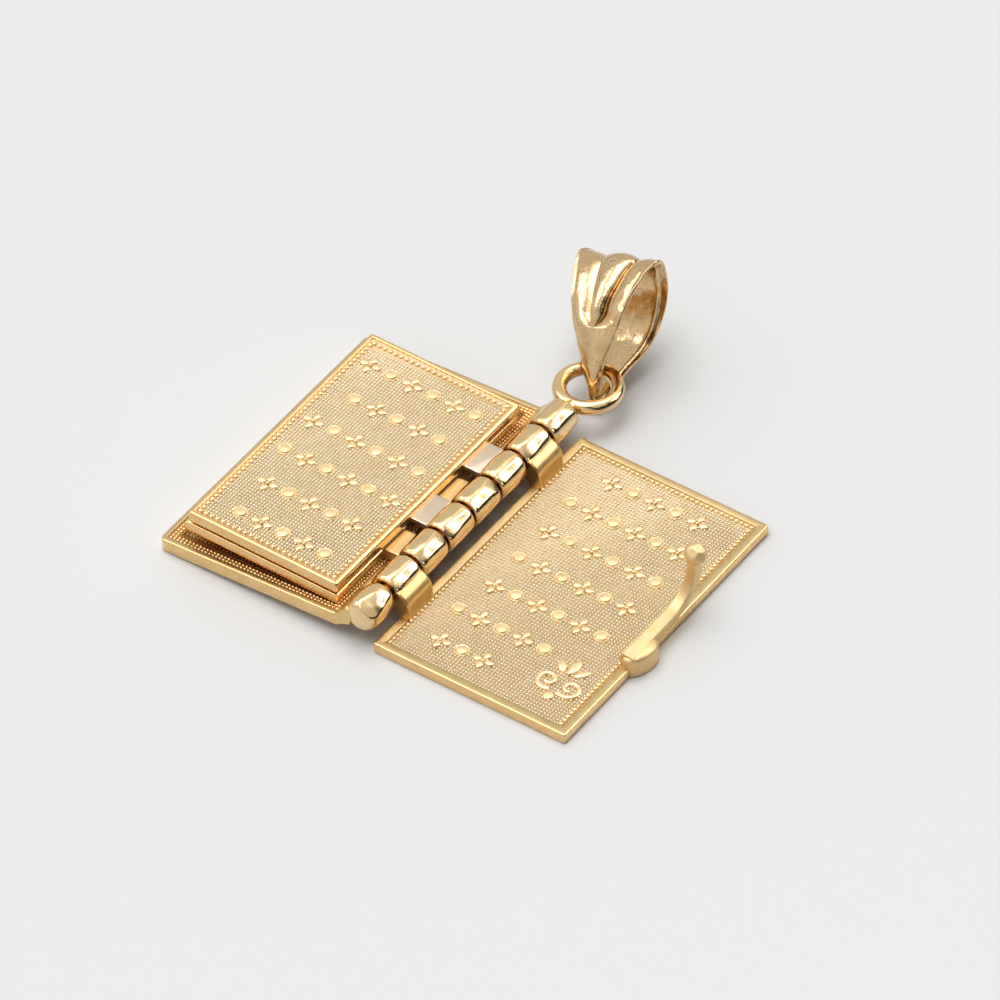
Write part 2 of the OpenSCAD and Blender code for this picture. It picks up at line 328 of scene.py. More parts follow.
def frame_loop(box: Box, inset: float, corner: float, step: float = 0.55,
               turns: int = 5) -> list[Flat]:
    """Points round a rectangle with rounded corners, as many for every inset.

    Args:
        box: Its lowest and highest x and y.
        inset: How far inside the rectangle the loop runs.
        corner: Radius of the corners of the outermost loop.
        step: Rough distance between points along the sides.
        turns: Steps round a corner.

    Returns:
        The points, anticlockwise.
    """
    x0, x1, y0, y1 = box
    r = max(corner - inset, 0.02)
    centres = [(x1 - inset - r, y0 + inset + r, -90), (x1 - inset - r, y1 - inset - r, 0),
               (x0 + inset + r, y1 - inset - r, 90), (x0 + inset + r, y0 + inset + r, 180)]
    counts = [max(2, round((y1 - y0) / step)), max(2, round((x1 - x0) / step))] * 2
    points: list[Flat] = []
    for k, (cx, cy, start) in enumerate(centres):
        for i in range(turns + 1):
            a = math.radians(start + 90 * i / turns)
            points.append((cx + r * math.cos(a), cy + r * math.sin(a)))
        nx, ny, nstart = centres[(k + 1) % 4]
        a = math.radians(nstart)
        p, q = Vector(points[-1]), Vector((nx + r * math.cos(a), ny + r * math.sin(a)))
        points += [tuple(p.lerp(q, i / counts[k])) for i in range(1, counts[k])]
    return points


def lathe(draft: Draft, profile: Sequence[Flat], steps: int = 72, dull: int = 0) -> None:
    """Adds a round part that stands along y.

    Args:
        draft: Piece that gets it.
        profile: Radius and y of each point, from the axis or closed on itself.
        steps: Steps round the axis.
        dull: How many of its first bands have the piece's second finish.
    """
    draft.rings([[(r * math.cos(a), y, r * math.sin(a)) for a in round_angles(steps)]
                 for r, y in profile], kinds=lambda row: 1 if row < dull else 0)


def flatten(draft: Draft, first: int, turn: float, y: float, reach: float,
            bulge: float) -> None:
    """Buffs a soft flat into the side of a round part that stands along y.

    Args:
        draft: Piece that has the part.
        first: Number of the part's first point.
        turn: Where the flat is round the axis, in degrees from z towards x.
        y: Its middle along y.
        reach: How far its middle stands from the axis.
        bulge: Radius of its own slight curve.
    """
    way = Vector((math.sin(math.radians(turn)), 0, math.cos(math.radians(turn))))
    for i in range(first, len(draft.points)):
        p = Vector(draft.points[i])
        beside = p - way * p.dot(way) - Vector((0, y, 0))
        over = p.dot(way) - reach + beside.length_squared / (2 * bulge)
        if over > 0:
            draft.points[i] = tuple(p - way * over)


# A web's softened end: how far along the bevel each ring lies, and how far it is drawn in.
WEB_END = ((0.0, 0.1), (0.3, 0.03), (1.0, 0.0))
# Distance between a rib and the groove beside it; the ribbed wall lies right of and below RIBBED.
RIB_PITCH = 0.06
RIBBED = (1.1, -0.3)


def prism(draft: Draft, outline: Sequence[Flat], start: float, end: float, bevel: float,
          rib: float) -> None:
    """Adds a straight web with softened ends, drawn across the hinge.

    Args:
        draft: Piece that gets it.
        outline: Its outline across the hinge.
        start: Where it starts along the hinge.
        end: Where it ends.
        bevel: Width of the softened ends.
        rib: Depth of the fine ribs that run down its low outer wall.
    """
    mid = middle(outline)

    def ring(y: float, drawn_in: float) -> list[Point]:
        """The outline at y, drawn in towards its middle."""
        pulled = [Vector(p).lerp(mid, drawn_in) for p in outline]
        return [(p.x, y, p.y) for p in pulled]

    def ribbed(y: float, deep: float) -> list[Point]:
        """The outline at y with its wall set back."""
        return [(p[0] - (deep if p[0] > RIBBED[0] and p[1] < RIBBED[1] else 0.0), y, p[1])
                for p in outline]

    count = int((end - start - 2 * bevel - RIB_PITCH) / RIB_PITCH) + 1 if rib else 0
    walls = [ribbed(start + bevel + RIB_PITCH / 2 + RIB_PITCH * i, rib * (i % 2))
             for i in range(count)]
    draft.rings([*(ring(start + bevel * share, drawn_in) for share, drawn_in in WEB_END), *walls,
                 *(ring(end - bevel * share, drawn_in) for share, drawn_in in WEB_END[::-1])])


# A cushioned ornament from its foot up: share of its outline and of its height.
CUSHION = ((1.0, -0.3), (1.0, 0.25), (0.93, 0.62), (0.8, 0.86), (0.55, 0.98), (0.22, 1.0))


def raised(draft: Draft, outline: Sequence[Flat], at: Flat, floor: float, height: float,
           turn: float = 0.0) -> None:
    """Adds a cushioned ornament that stands on a field.

    Args:
        draft: Piece that gets it.
        outline: Its outline round its own middle.
        at: Where its middle stands.
        floor: Height of the field.
        height: Its height above the field.
        turn: How far it is turned, in degrees.
    """
    c, s = math.cos(math.radians(turn)), math.sin(math.radians(turn))
    draft.rings([[(at[0] + share * (x * c - y * s), at[1] + share * (x * s + y * c),
                   floor + rise * height) for x, y in outline] for share, rise in CUSHION])


def sweep(draft: Draft, path: Sequence[Vector], half: Callable[[float], Flat], up: Vector,
          sides: int, square: float) -> None:
    """Adds a bar that follows a path.

    Args:
        draft: Piece that gets it.
        path: Points of its middle line.
        half: Half width and half thickness at a share of the path.
        up: Rough direction of its thickness.
        sides: Points round it.
        square: Power of the section's outline; 1 is an ellipse, near 0 a rectangle.
    """
    rings = []
    for i, p in enumerate(path):
        along = (path[min(i + 1, len(path) - 1)] - path[max(i - 1, 0)]).normalized()
        across = along.cross(up).normalized()
        thick = across.cross(along).normalized()
        w, t = half(i / (len(path) - 1))
        ring = []
        for k in range(sides):
            a = 2 * math.pi * (k + 0.5) / sides
            cx, sx = math.cos(a), math.sin(a)
            ring.append(tuple(p + across * w * math.copysign(abs(cx) ** square, cx)
                              + thick * t * math.copysign(abs(sx) ** square, sx)))
        rings.append(ring)
    draft.rings(rings)


# ---- repeated work

# Inputs of the trees that stand domes on points: name and kind.
DOME_SOCKETS = [("Width", "Float"), ("Length", "Float"), ("Height", "Float"),
                ("Unevenness", "Float"), ("Seed", "Int"), ("Gold", "Material")]
# A dome keeps what lies above this height of its ball, which has a radius of 1.
DOME_FOOT = -0.1


def new_group(name: str, sockets: Sequence[tuple[str, str]]) -> tuple[bpy.types.NodeTree, Any]:
    """Starts a Geometry Nodes tree.

    Args:
        name: Its name.
        sockets: Name and kind of each input after the geometry.

    Returns:
        The tree and its group input's outputs.
    """
    tree = bpy.data.node_groups.new(name, "GeometryNodeTree")
    for way in ("INPUT", "OUTPUT"):
        tree.interface.new_socket("Geometry", in_out=way, socket_type="NodeSocketGeometry")
    for label, kind in sockets:
        tree.interface.new_socket(label, in_out="INPUT", socket_type="NodeSocket" + kind)
    return tree, add_node(tree, "NodeGroupInput").outputs


def finish_group(tree: bpy.types.NodeTree, given: Any, points: bpy.types.NodeSocket) -> None:
    """Stands a small dome on every point and ends the tree.

    Args:
        tree: The tree.
        given: Outputs of its group input, DOME_SOCKETS among them.
        points: The points that carry the domes.
    """
    ball = add_node(tree, "GeometryNodeMeshUVSphere", values={
        "Segments": 6, "Rings": 6, "Radius": 1.0}).outputs[0]
    depth = add_node(tree, "ShaderNodeSeparateXYZ", links={
        0: add_node(tree, "GeometryNodeInputPosition").outputs[0]}).outputs["Z"]
    low = add_node(tree, "FunctionNodeCompare", {"operation": "LESS_THAN"}, {1: DOME_FOOT},
                   {0: depth}).outputs[0]
    dome = add_node(tree, "GeometryNodeDeleteGeometry", links={
        "Geometry": ball, "Selection": low}).outputs[0]
    least, most = (add_node(tree, "ShaderNodeMath", {"operation": operation}, {0: 1.0},
                            {1: given["Unevenness"]}).outputs[0]
                   for operation in ("SUBTRACT", "ADD"))
    chance = add_node(tree, "FunctionNodeRandomValue", links={
        2: least, 3: most, "Seed": given["Seed"]}).outputs[1]
    size = add_node(tree, "ShaderNodeCombineXYZ", links={
        0: given["Width"], 1: given["Length"], 2: given["Height"]}).outputs[0]
    scale = add_node(tree, "ShaderNodeVectorMath", {"operation": "SCALE"}, links={
        0: size, "Scale": chance}).outputs[0]
    domes = add_node(tree, "GeometryNodeInstanceOnPoints", links={
        "Points": points, "Instance": dome, "Scale": scale}).outputs[0]
    real = add_node(tree, "GeometryNodeRealizeInstances", links={0: domes}).outputs[0]
    soft = add_node(tree, "GeometryNodeSetShadeSmooth", links={0: real}).outputs[0]
    dressed = add_node(tree, "GeometryNodeSetMaterial", links={
        "Geometry": soft, "Material": given["Gold"]}).outputs[0]
    add_node(tree, "NodeGroupOutput", links={0: dressed})


def beading_group() -> bpy.types.NodeTree:
    """Builds the tree that strings beads along the edges of a mesh, or finds it.

    Returns:
        The tree, whose Pitch is the distance between beads.
    """
    done = bpy.data.node_groups.get("beading")
    if done:
        return done
    tree, given = new_group("beading", [("Pitch", "Float"), *DOME_SOCKETS])
    line = add_node(tree, "GeometryNodeMeshToCurve", links={0: given["Geometry"]}).outputs[0]
    spaced = add_node(tree, "GeometryNodeResampleCurve", {"mode": "LENGTH"}, links={
        "Curve": line, "Length": given["Pitch"]}).outputs[0]
    finish_group(tree, given, spaced)
    return tree


def stipple_group() -> bpy.types.NodeTree:
    """Builds the tree that covers a rectangle with small raised points in rows, or finds it.

    Returns:
        The tree, whose Across and Along are the rectangle's sides.
    """
    done = bpy.data.node_groups.get("stipple")
    if done:
        return done
    tree, given = new_group("stipple", [
        ("Across", "Float"), ("Along", "Float"), ("Pitch Across", "Float"),
        ("Pitch Along", "Float"), *DOME_SOCKETS])
    counts = [add_node(tree, "ShaderNodeMath", {"operation": "DIVIDE"}, links={
        0: given[whole], 1: given[pitch]}).outputs[0]
        for whole, pitch in (("Across", "Pitch Across"), ("Along", "Pitch Along"))]
    grid = add_node(tree, "GeometryNodeMeshGrid", links={
        "Size X": given["Across"], "Size Y": given["Along"],
        "Vertices X": counts[0], "Vertices Y": counts[1]}).outputs[0]
    finish_group(tree, given, grid)
    return tree


def grown(name: str, tree: bpy.types.NodeTree, values: dict[str, Any], place: Matrix,
          points: Sequence[Point] = (), edges: Sequence[tuple[int, int]] = ()
          ) -> bpy.types.Object:
    """Runs a Geometry Nodes tree and keeps its result as a plain mesh.

    Args:
        name: Name of the piece.
        tree: The tree.
        values: Values of its inputs by name.
        place: Where its millimetres go in the frame.
        points: Points of the lines that the tree follows.
        edges: The lines, by the numbers of their points.

    Returns:
        An object at the origin, with its place in its mesh.
    """
    start = bpy.data.meshes.new(name + "_path")
    start.from_pydata(points, edges, [])
    obj = bpy.data.objects.new(name, start)
    bpy.context.scene.collection.objects.link(obj)
    modifier = obj.modifiers.new("grow", "NODES")
    modifier.node_group = tree
    for item in tree.interface.items_tree:
        if item.in_out == "INPUT" and item.name in values:
            modifier[item.identifier] = values[item.name]
    graph = bpy.context.evaluated_depsgraph_get()
    mesh = bpy.data.meshes.new_from_object(obj.evaluated_get(graph))
    obj.modifiers.remove(modifier)
    mesh.transform(place)
    mesh.name = name
    obj.data = mesh
    bpy.data.meshes.remove(start)
    return obj


# ---- sub-assemblies

class Side(Enum):
    """Which way a leaf reaches from the hinge."""

    LEFT = -1
    RIGHT = 1


class Skin(IntEnum):
    """Which of a plate's finishes a band of it has."""

    EDGE = 0
    GROUND = 1
    BORDER = 2


@dataclass
class SubAssembly:
    """Pieces that move together; the name of their slot is kept but not used."""

    body: str
    slot: str
    node: str

    @property
    def place(self) -> Matrix:
        """Where the pieces' millimetres go in the frame."""
        return HINGE @ Matrix.Scale(MM, 4)

    def settle(self, piece: bpy.types.Object, stands_for_node: bool = False) -> None:
        """Ties a piece to its body, and reports it.

        Args:
            piece: The piece.
            stands_for_node: Whether it takes the place of the CAD node.
        """
        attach(piece, self.body)
        if stands_for_node:
            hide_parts(self.node)
        LOG.info("%s: %d faces", piece.name, len(piece.data.polygons))

    def shape(self, name: str, draw: Callable[[Draft], None], golds: Sequence[Gold],
              wobble: Flat, stands_for_node: bool = False) -> None:
        """Makes one piece and settles it.

        Args:
            name: Name of the piece.
            draw: Method that adds its shape to a draft.
            golds: Its finishes.
            wobble: How far its surface strays and over what length, in mm.
            stands_for_node: Whether it takes the place of the CAD node.
        """
        draft = Draft()
        draw(draft)
        self.settle(draft.make(name, self.place, golds, wobble), stands_for_node)


@dataclass
class Hinge:
    """The row of eight barrels.

    A row of the rim says how far in from the radius and how far along the barrel it lies. A row
    of the flats says where a barrel's flat is round the axis, in degrees, and along the barrel,
    how deep it lies below the crest and the radius of its curve. The crest is counted from the
    radius.
    """

    radius: float = 0.85
    bore: float = 0.39
    pitch: float = 2.15
    gap: float = 0.17
    start: float = -0.05
    soft: float = 0.28
    blind: float = 0.7
    crown: float = 0.1
    crest: float = 0.02
    dome_flat: float = 0.45
    dome_deep: float = 0.55
    dome_soft: float = 0.5
    dome_dull: int = 6
    rim: Sequence[Flat] = ((0.2, 0), (0.1, 0.015), (0.04, 0.05), (0.022, 0.09), (0.03, 0.12),
                           (0.05, 0.14), (0.04, 0.16), (0.012, 0.2), (0, 0.28))
    flats: Sequence[tuple[float, float, float, float]] = (
        (36, 0.62, 0.045, 3.2), (37, 0.55, 0.014, 5), (33, 0.5, 0.02, 4), (38, 0.62, 0.014, 6),
        (34, 0.45, 0.02, 4), (38, 0.55, 0.012, 6), (34, 0.6, 0.018, 5), (36, 0.5, 0.014, 5))

    def near(self, number: int) -> float:
        """Where a barrel starts along the hinge."""
        return self.start + number * self.pitch + self.gap / 2

    @property
    def length(self) -> float:
        """Length of a barrel."""
        return self.pitch - self.gap

    def dome(self, y: float) -> list[Flat]:
        """Rounds the first barrel's end.

        Args:
            y: Where the dome starts.

        Returns:
            Radius and y of its points.
        """
        swell, deep = self.radius - 0.42, self.dome_deep - 0.02
        return [(TIP, y - 0.02), (0.3, y)] + [
            (self.dome_flat + swell * math.sin(a), y + self.dome_deep - deep * math.cos(a))
            for a in (math.pi / 2 * (i + 0.6) / 16.6 for i in range(17))]

    def barrel(self, draft: Draft, number: int) -> None:
        """Adds one barrel with a rolled near rim, a soft far end and its bore.

        Args:
            draft: Piece that gets it.
            number: Its number from the near end; the first is domed and its bore is blind.
        """
        y0, first, r = self.near(number), number == 0, self.radius
        y1, begun = y0 + self.length, len(draft.points)
        near = self.dome(y0) if first else \
            [(self.bore, y0)] + [(r - inset, y0 + along) for inset, along in self.rim]
        start, soft = near[-1][1], self.dome_soft if first else self.soft
        crown = [(i / 12, start + (y1 - start - soft) * i / 12) for i in range(1, 12)]
        body = [(near[-1][0] + (r - near[-1][0]) * t + self.crown * t * (1 - t), y)
                for t, y in crown]
        far = [(r - soft / 2 + soft / 2 * math.cos(a), y1 - soft + soft * math.sin(a))
               for a in (math.pi / 2 * i / 9 for i in range(10))]
        bore = [(self.bore, y1), (self.bore, y0 + self.blind),
                (TIP, y0 + self.blind) if first else (self.bore, y0)]
        lathe(draft, near + body + far + bore, dull=self.dome_dull if first else 0)
        turn, share, deep, bulge = self.flats[number]
        flatten(draft, begun, turn, y0 + share * self.length, r + self.crest - deep,
                bulge)


@dataclass
class Ornament:
    """Rows of small flowers and bosses in turn, each row with its own middle across the leaf.

    A row of the foot says how far in from a boss's edge it lies, and its share of the height.
    """

    counts: Sequence[int]
    mids: Sequence[float]
    far: float
    pitch: float
    gap: float = 1.2
    petal: Flat = (0.4, 0.56)
    petal_gap: float = 0.055
    eye: float = 0.085
    boss: float = 0.4
    boss_top: float = 0.06
    foot: Sequence[Flat] = ((0, -0.3), (0, 0.3), (0.025, 0.52), (0.06, 0.5), (0.085, 0.3),
                            (0.1, 0.5), (0.14, 0.85))
    high: float = 0.14

    def add(self, draft: Draft, side: Side, floor: float) -> None:
        """Adds all marks to a draft.

        Args:
            draft: Piece that gets them.
            side: Side of the hinge on which the leaf lies.
            floor: Height of the field.
        """
        for row, (count, mid) in enumerate(zip(self.counts, self.mids)):
            for i in range(count):
                at = (side.value * mid + (i - (count - 1) / 2) * self.gap,
                      self.far - row * self.pitch)
                mark = self.ring_boss if (i + row) % 2 else self.flower
                mark(draft, at, floor)

    def flower(self, draft: Draft, at: Flat, floor: float) -> None:
        """Adds four petals round a bead.

        Args:
            draft: Piece that gets them.
            at: Where their middle stands.
            floor: Height of the field.
        """
        reach = self.petal[1] / 2 + self.petal_gap
        for k in range(4):
            a = math.pi / 2 * k
            raised(draft, almond(*self.petal), (at[0] + reach * math.cos(a),
                                                at[1] + reach * math.sin(a)),
                   floor, self.high, 90 * k - 90)
        raised(draft, circle(self.eye), at, floor, self.high)

    def ring_boss(self, draft: Draft, at: Flat, floor: float) -> None:
        """Adds a dome with a groove round its foot.

        Args:
            draft: Piece that gets it.
            at: Where its middle stands.
            floor: Height of the field.
        """
        profile = [(self.boss - inset, rise) for inset, rise in self.foot]
        draft.rings([[(at[0] + r * x, at[1] + r * y, floor + rise * self.high)
                      for x, y in circle(1.0)] for r, rise in (*profile, (self.boss_top, 1.0))])


@dataclass
class Leaf(SubAssembly):
    """A cover or page: a plate with a flat border, beads inside it and a stippled field.

    Values for the four sides go near, right, far, left. The reach runs from the hinge's axis. A
    bead is its half width, its pitch and its height; a point is its half width and half length.
    """

    side: Side
    reach: Flat
    along: Flat
    corner: float
    thick: float
    top: float
    turn: float
    barrels: tuple[int, ...]
    web: Sequence[Flat]
    cut_short: float = 0.0
    border: float = 0.3
    hinge_drop: float = 0.03
    hinge_slope: float = 0.1
    skew: float = 0.0
    ridges: tuple[float, ...] = ()
    bead_rows: tuple[tuple[float, ...], ...] = ((0.47,),) * 4
    bead: Point = (0.14, 0.31, 0.145)
    pitch: Flat = (0.168, 0.194)
    point: Flat = (0.067, 0.075)
    point_height: float = 0.08
    hinge: Hinge = field(default_factory=Hinge)
    relief: float = 0.1
    web_bevel: float = 0.12
    rib: float = 0.0
    margins: Box = (0.34,) * 4
    ornament: Ornament | None = None
    web_gold: Gold = SATIN
    border_gold: Gold = CAST
    ground_gold: Gold = GROUND
    # By default the field's ground is painted deeper as shade between the points, and the points
    # paler as their highlight.
    bead_gold: Gold = FILED
    point_gold: Gold = LIT_POINTS

    @property
    def place(self) -> Matrix:
        """Where the leaf's millimetres go in the frame."""
        return HINGE @ Matrix.Rotation(math.radians(self.turn), 4, "Y") @ Matrix.Scale(MM, 4)

    @property
    def box(self) -> Box:
        """The plate's lowest and highest x and y."""
        xs = sorted(self.side.value * r for r in self.reach)
        return xs[0], xs[1], self.along[0], self.along[1]

    @property
    def floor(self) -> float:
        """Height of the sunk field."""
        return self.top - self.relief

    def height(self, x: float, fall: float) -> float:
        """Height of a point of the plate, whose hinge side slopes down.

        Args:
            x: Its place across the leaf.
            fall: How far it lies below the border.

        Returns:
            Its height above the hinge's axis.
        """
        into = abs(x) - self.reach[0]
        slope = self.hinge_drop * max(0.0, 1 - into / self.hinge_slope)
        return self.top - fall - slope * max(0.0, 1 - fall / self.thick)

    def askew(self, x: float, y: float) -> float:
        """Place across the leaf of a point, where the hinge side runs a little out of square.

        Args:
            x: Its place across the square leaf.
            y: Its place along the hinge.

        Returns:
            Its place across the real one.
        """
        x0, x1, y0, y1 = self.box
        share = (x - x0) / (x1 - x0) if self.side is Side.LEFT else (x1 - x) / (x1 - x0)
        return x - self.side.value * self.skew * share ** 4 * (y - y0) / (y1 - y0)

    def plate(self, draft: Draft) -> None:
        """Adds the plate: rounded rim, flat border, sunk field and its thin ridges.

        Args:
            draft: Piece that gets it.
        """
        t, b = self.thick, self.border
        edge = [(0.5, t), (0.07, t), (0.02, t - 0.02), (0.0, t - 0.07), (0.0, 0.3), (0.0, 0.1),
                (0.012, 0.05), (0.04, 0.018)]
        flat = [(0.08, 0.004), (0.12, 0.0), (b - 0.04, 0.0), (b - 0.015, 0.008), (b, 0.03),
                (b + 0.015, 0.075)]
        sunk = [(b + 0.03, 0.095), (b + 0.05, self.relief)]
        for at in self.ridges:
            sunk += [(at - 0.035, self.relief), (at - 0.015, 0.045), (at + 0.015, 0.045),
                     (at + 0.035, self.relief)]
        skins = [Skin.EDGE] * len(edge) + [Skin.BORDER] * len(flat) + [Skin.GROUND] * len(sunk)
        rings = []
        for inset, fall in edge + flat + sunk:
            loop = frame_loop(self.box, inset, self.corner)
            rings.append([(self.askew(x, y), y, self.height(x, fall)) for x, y in loop])
        draft.rings(rings, kinds=lambda row: skins[row], cap_kind=Skin.GROUND)

    def knuckles(self, draft: Draft) -> None:
        """Adds the leaf's barrels."""
        for number in self.barrels:
            self.hinge.barrel(draft, number)

    def webs(self, draft: Draft) -> None:
        """Adds the webs that carry the leaf's barrels.

        Args:
            draft: Piece that gets them.
        """
        for near in map(self.hinge.near, self.barrels):
            prism(draft, self.web, near, near + self.hinge.length - self.cut_short,
                  self.web_bevel, self.rib)

    def marks(self, draft: Draft) -> None:
        """Adds the ornament that stands on the field."""
        self.ornament.add(draft, self.side, self.floor)

    def beads(self) -> None:
        """Strings the beads that run inside the border on the sides that have them."""
        x0, x1, y0, y1 = self.box
        points: list[Point] = []
        edges: list[tuple[int, int]] = []
        for k, insets in enumerate(self.bead_rows):
            for inset in insets:
                u0, u1, v0, v1 = x0 + inset, x1 - inset, y0 + inset, y1 - inset
                corners = [(u0, v0), (u1, v0), (u1, v1), (u0, v1)]
                edges.append((len(points), len(points) + 1))
                points += [(self.askew(x, y), y, self.floor)
                           for x, y in (corners[k], corners[(k + 1) % 4])]
        size, pitch, height = self.bead
        self.settle(grown(f"{self.node}_beads", beading_group(), {
            "Pitch": pitch, "Width": size, "Length": size, "Height": height,
            "Unevenness": 0.08, "Seed": 3, "Gold": self.bead_gold.material()}, self.place,
            points, edges))

    def stipple(self) -> None:
        """Covers the sunk field with its fine raised points."""
        near, right, far, left = self.margins
        x0, x1 = self.box[0] + left, self.box[1] - right
        y0, y1 = self.box[2] + near, self.box[3] - far
        mid = Matrix.Translation(((x0 + x1) / 2, (y0 + y1) / 2, self.floor))
        self.settle(grown(f"{self.node}_field", stipple_group(), {
            "Across": x1 - x0, "Along": y1 - y0, "Pitch Across": self.pitch[0],
            "Pitch Along": self.pitch[1], "Width": self.point[0], "Length": self.point[1],
            "Height": self.point_height, "Unevenness": 0.05, "Seed": 11,
            "Gold": self.point_gold.material()}, self.place @ mid))

    def build(self) -> None:
        """Makes the leaf's pieces."""
        self.shape(f"{self.node}_leaf", self.plate,
                   [CAST, self.ground_gold, self.border_gold], (0.006, 1.3), True)
        self.shape(f"{self.node}_knuckles", self.knuckles, [BUFFED, FILED], (0.022, 0.9))
        self.shape(f"{self.node}_webs", self.webs, [self.web_gold], (0.006, 0.8))
        self.beads()
        self.stipple()
        if self.ornament:
            self.shape(f"{self.node}_ornament", self.marks, [FILED], (0.01, 0.3))


@dataclass
class Scroll:
    """Two volutes that roll away from each other, with three leaves above and a boss below.

    The band of a volute is its first half width, how much it narrows, and its half height. A leaf
    is its width and length, its place counted from the scroll's own, and its turn in degrees.
    """

    at: Flat = (9.45, 3.0)
    radius: float = 0.6
    drop: float = 0.3
    begin: float = -125
    turn: float = 420
    shrink: float = 0.72
    steps: int = 60
    band: Point = (0.15, 0.04, 0.11)
    leaves: Sequence[tuple[Flat, Flat, float]] = (
        ((0.46, 1.0), (0.56, 0.8), -38), ((0.46, 1.0), (-0.56, 0.8), 38),
        ((0.54, 1.3), (0.0, 1.0), 0))
    boss: float = 0.28
    boss_down: float = 1.2
    high: float = 0.14

    def add(self, draft: Draft, floor: float) -> None:
        """Adds the scroll to a draft.

        Args:
            draft: Piece that gets it.
            floor: Height of the field.
        """
        x, y = self.at
        wide, narrows, half_high = self.band
        for side in (1, -1):
            path = []
            for i in range(self.steps + 1):
                a = math.radians(self.begin + self.turn * i / self.steps)
                r = self.radius * (1 - self.shrink * i / self.steps)
                path.append(Vector((x + side * (self.radius + r * math.cos(a)),
                                    y - self.drop + r * math.sin(a), floor + 0.03)))
            sweep(draft, path, lambda share: (wide - narrows * share, half_high),
                  Vector((0, 0, 1)), 12, 0.8)
        for size, (dx, dy), turn in self.leaves:
            raised(draft, almond(*size), (x + dx, y + dy), floor, self.high, turn)
        raised(draft, circle(self.boss), (x, y - self.boss_down), floor, self.high)


@dataclass
class Catch:
    """The soldered block, the bent spring strip and the hammered knob on its end.

    A layer of the block says how far in from its outline and how high it lies. The strip starts
    inside the block, runs along the edge, bends up and rises, all in a plane that leans outward.
    """

    block: Sequence[Flat] = ((11.0, 5.2), (11.7, 5.2), (12.12, 5.9), (12.2, 6.9),
                             (11.8, 7.35), (11.2, 7.3))
    layers: Sequence[Flat] = ((0.06, 0.0), (0.0, 0.06), (0.0, 0.5), (0.01, 0.86), (0.04, 0.97),
                              (0.1, 1.05), (0.22, 1.1), (0.42, 1.13))
    strip_at: Point = (11.36, 6.25, -0.7)
    lean: float = 8.5
    back: float = 5
    tail: float = 0.85
    run: float = 2.8
    bend: float = 1.5
    rise: float = 1.15
    strip: Flat = (0.31, 0.35)
    widens: float = 0.02
    thins: float = 0.09
    knob: float = 0.575
    knob_up: float = 0.345
    knob_flats: int = 16
    knob_cut: float = 0.52

    def add(self, draft: Draft, base: float) -> None:
        """Adds the catch to a draft.

        Args:
            draft: Piece that gets it.
            base: Height of the cover's underside.
        """
        mid = middle(self.block)
        outline = [Vector(p) for p in self.block]
        for _ in range(3):
            outline = [a.lerp(b, t) for a, b in zip(outline, outline[1:] + outline[:1])
                       for t in (0.25, 0.75)]
        draft.rings([[(*(p - (p - mid).normalized() * inset), base + z) for p in outline]
                     for inset, z in self.layers])
        lean, back = math.radians(self.lean), math.radians(self.back)
        level = [Vector((0, (self.run + self.tail) * i / 14 - self.tail, 0)) for i in range(15)]
        arc = [Vector((0, self.run + self.bend * math.sin(a), self.bend - self.bend * math.cos(a)))
               for a in ((math.pi / 2 + back) * i / 16 for i in range(1, 17))]
        up = Vector((0, -math.sin(back), math.cos(back)))
        post = [arc[-1] + up * self.rise * i / 10 for i in range(1, 11)]
        turn = Matrix.Translation(self.strip_at) @ Matrix.Rotation(lean, 4, "Y")
        out = (turn.to_3x3() @ Vector((1, 0, 0))).normalized()
        wide, thick = self.strip
        sweep(draft, [turn @ p for p in level + arc + post],
              lambda share: (wide + self.widens * share, thick - self.thins * share), out, 24,
              0.36)
        self.hammer(draft, turn @ (arc[-1] + up * (self.rise + self.knob_up)))

    def hammer(self, draft: Draft, mid: Vector) -> None:
        """Adds the knob, a ball hammered into soft flats that spiral from pole to pole.

        Args:
            draft: Piece that gets it.
            mid: Its middle.
        """
        flats = []
        for i in range(self.knob_flats):
            z = 1 - (2 * i + 1) / self.knob_flats
            r = math.sqrt(1 - z * z)
            flats.append(Vector((r * math.cos(2.4 * i), r * math.sin(2.4 * i), z)))
        rings = []
        for i in range(25):
            a = math.pi * (i + 0.05) / 24.1
            ring = []
            for b in round_angles(48):
                way = Vector((math.sin(a) * math.cos(b), math.sin(a) * math.sin(b), -math.cos(a)))
                cut = min(self.knob_cut / max(0.2, way.dot(f)) for f in flats)
                ring.append(tuple(mid + way * min(self.knob, cut)))
            rings.append(ring)
        draft.rings(rings)


@dataclass
class FrontCover(Leaf):
    """The right leaf, with rows of ornament, a scroll and the catch."""

    scroll: Scroll = field(default_factory=Scroll)
    catch: Catch = field(default_factory=Catch)

    def marks(self, draft: Draft) -> None:
        """Adds the rows of ornament and the scroll."""
        super().marks(draft)
        self.scroll.add(draft, self.floor)

    def solder(self, draft: Draft) -> None:
        """Adds the catch to the cover's outer edge."""
        self.catch.add(draft, self.top - self.thick)

    def build(self) -> None:
        """Makes the cover, its ornament and its catch."""
        super().build()
        self.shape(f"{self.node}_catch", self.solder, [SANDED], (0.015, 0.7))


